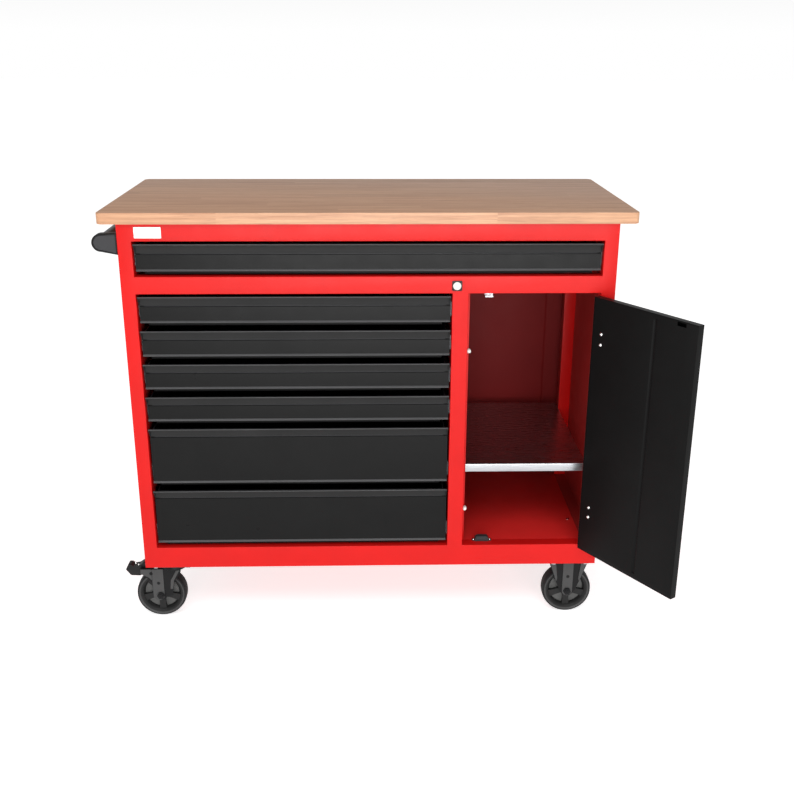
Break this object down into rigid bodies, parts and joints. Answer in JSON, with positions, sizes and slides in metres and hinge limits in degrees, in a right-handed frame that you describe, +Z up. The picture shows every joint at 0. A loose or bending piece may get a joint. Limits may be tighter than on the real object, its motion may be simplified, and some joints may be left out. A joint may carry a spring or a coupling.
{
  "type": "workbench with drawers",
  "caption": "Rolling steel workbench with stacked drawers, a hinged cupboard, a wooden worktop, a push handle and swivel casters with brakes.",
  "frame": {"origin": "on the floor, under the middle of the object's box with the door stored open at 123 degrees", "axes": "+X to the right as seen from the front, +Y from the drawer fronts to the back panel, +Z up"},
  "size_m": [1.305, 0.8114, 1.035],
  "materials": {
    "beech": "satin oiled beech",
    "red_paint": "satin powder coat",
    "charcoal_paint": "fine satin powder coat",
    "drawer_grey": "satin powder coat",
    "channel_steel": "matt",
    "zinc_shelf": "bright zinc",
    "zinc": "zinc plated",
    "steel_pin": "turned",
    "bright_screw": "polished",
    "white_buffer": "matt",
    "catch_plastic": "matt",
    "lock_bezel": "satin",
    "nickel_lock": "satin nickel",
    "handle_tube": "satin",
    "handle_plastic": "fine grained",
    "caster_steel": "black coated",
    "caster_black": "satin black",
    "pedal_plastic": "satin",
    "bolt_zinc": "zinc plated",
    "wheel_grey": "fine grained",
    "tyre_rubber": "matt rubber"
  },
  "bodies": {
    "root": {"worktop": "beech", "front_frame": "red_paint", "side_panel_left": "red_paint", "side_panel_right": "red_paint", "back_panel": "red_paint", "floor_panel": "red_paint", "base_channels": "channel_steel", "partition_panel": "red_paint", "shelf": "zinc_shelf", "shelf_clips": "zinc", "cabinet_rails": "zinc", "hinge_frame_leaves": "zinc", "hinge_pins": "steel_pin", "door_buffers": "white_buffer", "magnetic_catch": "catch_plastic", "lock_housing": "lock_bezel", "handle_bar": "handle_tube", "handle_brackets": "handle_plastic", "swivel_plates": "caster_steel", "rigid_forks": "caster_black", "caster_bolts": "bolt_zinc"},
    "door": {"door_skin": "charcoal_paint", "door_liner": "charcoal_paint", "hinge_door_leaves": "zinc", "door_screws": "bright_screw"},
    "lock_cylinder": {"lock_cylinder": "nickel_lock"},
    "lock_bar": {"lock_bar": "zinc"},
    "caster_front": {"swivel_fork_front": "caster_black"},
    "pedal_front": {"brake_pedal_front": "pedal_plastic"},
    "caster_rear": {"swivel_fork_rear": "caster_black"},
    "pedal_rear": {"brake_pedal_rear": "pedal_plastic"},
    "wheel_left_front": {"wheel_core_left_front": "wheel_grey", "tyre_left_front": "tyre_rubber"},
    "wheel_left_rear": {"wheel_core_left_rear": "wheel_grey", "tyre_left_rear": "tyre_rubber"},
    "wheel_right_front": {"wheel_core_right_front": "wheel_grey", "tyre_right_front": "tyre_rubber"},
    "wheel_right_rear": {"wheel_core_right_rear": "wheel_grey", "tyre_right_rear": "tyre_rubber"},
    "drawer_1": {"drawer_1_front": "charcoal_paint", "drawer_1_box": "drawer_grey"},
    "rails_1": {"drawer_1_middle_rails": "zinc"},
    "drawer_2": {"drawer_2_front": "charcoal_paint", "drawer_2_box": "drawer_grey"},
    "rails_2": {"drawer_2_middle_rails": "zinc"},
    "drawer_3": {"drawer_3_front": "charcoal_paint", "drawer_3_box": "drawer_grey"},
    "rails_3": {"drawer_3_middle_rails": "zinc"},
    "drawer_4": {"drawer_4_front": "charcoal_paint", "drawer_4_box": "drawer_grey"},
    "rails_4": {"drawer_4_middle_rails": "zinc"},
    "drawer_5": {"drawer_5_front": "charcoal_paint", "drawer_5_box": "drawer_grey"},
    "rails_5": {"drawer_5_middle_rails": "zinc"},
    "drawer_6": {"drawer_6_front": "charcoal_paint", "drawer_6_box": "drawer_grey"},
    "rails_6": {"drawer_6_middle_rails": "zinc"},
    "drawer_7": {"drawer_7_front": "charcoal_paint", "drawer_7_box": "drawer_grey"},
    "rails_7": {"drawer_7_middle_rails": "zinc"}
  },
  "joints": [
    {"name": "drawer_1_slide", "type": "slide", "parent": "root", "child": "drawer_1", "axis": [0, -1, 0], "range_m": [0, 0.44]},
    {"name": "rails_1_slide", "type": "slide", "parent": "root", "child": "rails_1", "axis": [0, -1, 0], "range_m": [0, 0.22]},
    {"name": "drawer_2_slide", "type": "slide", "parent": "root", "child": "drawer_2", "axis": [0, -1, 0], "range_m": [0, 0.44]},
    {"name": "rails_2_slide", "type": "slide", "parent": "root", "child": "rails_2", "axis": [0, -1, 0], "range_m": [0, 0.22]},
    {"name": "drawer_3_slide", "type": "slide", "parent": "root", "child": "drawer_3", "axis": [0, -1, 0], "range_m": [0, 0.44]},
    {"name": "rails_3_slide", "type": "slide", "parent": "root", "child": "rails_3", "axis": [0, -1, 0], "range_m": [0, 0.22]},
    {"name": "drawer_4_slide", "type": "slide", "parent": "root", "child": "drawer_4", "axis": [0, -1, 0], "range_m": [0, 0.44]},
    {"name": "rails_4_slide", "type": "slide", "parent": "root", "child": "rails_4", "axis": [0, -1, 0], "range_m": [0, 0.22]},
    {"name": "drawer_5_slide", "type": "slide", "parent": "root", "child": "drawer_5", "axis": [0, -1, 0], "range_m": [0, 0.44]},
    {"name": "rails_5_slide", "type": "slide", "parent": "root", "child": "rails_5", "axis": [0, -1, 0], "range_m": [0, 0.22]},
    {"name": "drawer_6_slide", "type": "slide", "parent": "root", "child": "drawer_6", "axis": [0, -1, 0], "range_m": [0, 0.44]},
    {"name": "rails_6_slide", "type": "slide", "parent": "root", "child": "rails_6", "axis": [0, -1, 0], "range_m": [0, 0.22]},
    {"name": "drawer_7_slide", "type": "slide", "parent": "root", "child": "drawer_7", "axis": [0, -1, 0], "range_m": [0, 0.44]},
    {"name": "rails_7_slide", "type": "slide", "parent": "root", "child": "rails_7", "axis": [0, -1, 0], "range_m": [0, 0.22]},
    {"name": "door_hinge", "type": "hinge", "parent": "root", "child": "door", "pos_m": [0.49551, -0.14131, 0.53], "axis": [0, 0, 1], "range_deg": [-123, 47]},
    {"name": "lock_bar_slide", "type": "slide", "parent": "root", "child": "lock_bar", "axis": [1, 0, 0], "range_m": [0, 0.01]},
    {"name": "lock_turn", "type": "hinge", "parent": "root", "child": "lock_cylinder", "pos_m": [0.16551, -0.13431, 0.868], "axis": [0, 1, 0], "range_deg": [0, 90]},
    {"name": "caster_front_swivel", "type": "hinge", "parent": "root", "child": "caster_front", "pos_m": [-0.53049, -0.08431, 0.14], "axis": [0, 0, 1], "continuous": true},
    {"name": "pedal_front_press", "type": "hinge", "parent": "caster_front", "child": "pedal_front", "pos_m": [-0.59849, -0.08431, 0.1285], "axis": [0, -1, 0], "range_deg": [0, 8]},
    {"name": "caster_rear_swivel", "type": "hinge", "parent": "root", "child": "caster_rear", "pos_m": [-0.53049, 0.34569, 0.14], "axis": [0, 0, 1], "continuous": true},
    {"name": "pedal_rear_press", "type": "hinge", "parent": "caster_rear", "child": "pedal_rear", "pos_m": [-0.59849, 0.34569, 0.1285], "axis": [0, -1, 0], "range_deg": [0, 8]},
    {"name": "wheel_left_front_spin", "type": "hinge", "parent": "caster_front", "child": "wheel_left_front", "pos_m": [-0.56549, -0.08431, 0.0625], "axis": [0, 1, 0], "continuous": true},
    {"name": "wheel_left_rear_spin", "type": "hinge", "parent": "caster_rear", "child": "wheel_left_rear", "pos_m": [-0.56549, 0.34569, 0.0625], "axis": [0, 1, 0], "continuous": true},
    {"name": "wheel_right_front_spin", "type": "hinge", "parent": "root", "child": "wheel_right_front", "pos_m": [0.46751, -0.08431, 0.0625], "axis": [0, 1, 0], "continuous": true},
    {"name": "wheel_right_rear_spin", "type": "hinge", "parent": "root", "child": "wheel_right_rear", "pos_m": [0.46751, 0.34569, 0.0625], "axis": [0, 1, 0], "continuous": true}
  ],
  "couplings": [
    {"joint": "rails_1_slide", "follows": "drawer_1_slide", "ratio": 0.5},
    {"joint": "rails_2_slide", "follows": "drawer_2_slide", "ratio": 0.5},
    {"joint": "rails_3_slide", "follows": "drawer_3_slide", "ratio": 0.5},
    {"joint": "rails_4_slide", "follows": "drawer_4_slide", "ratio": 0.5},
    {"joint": "rails_5_slide", "follows": "drawer_5_slide", "ratio": 0.5},
    {"joint": "rails_6_slide", "follows": "drawer_6_slide", "ratio": 0.5},
    {"joint": "rails_7_slide", "follows": "drawer_7_slide", "ratio": 0.5},
    {"joint": "lock_turn", "follows": "lock_bar_slide", "rad_per_m": 157.08}
  ]
}
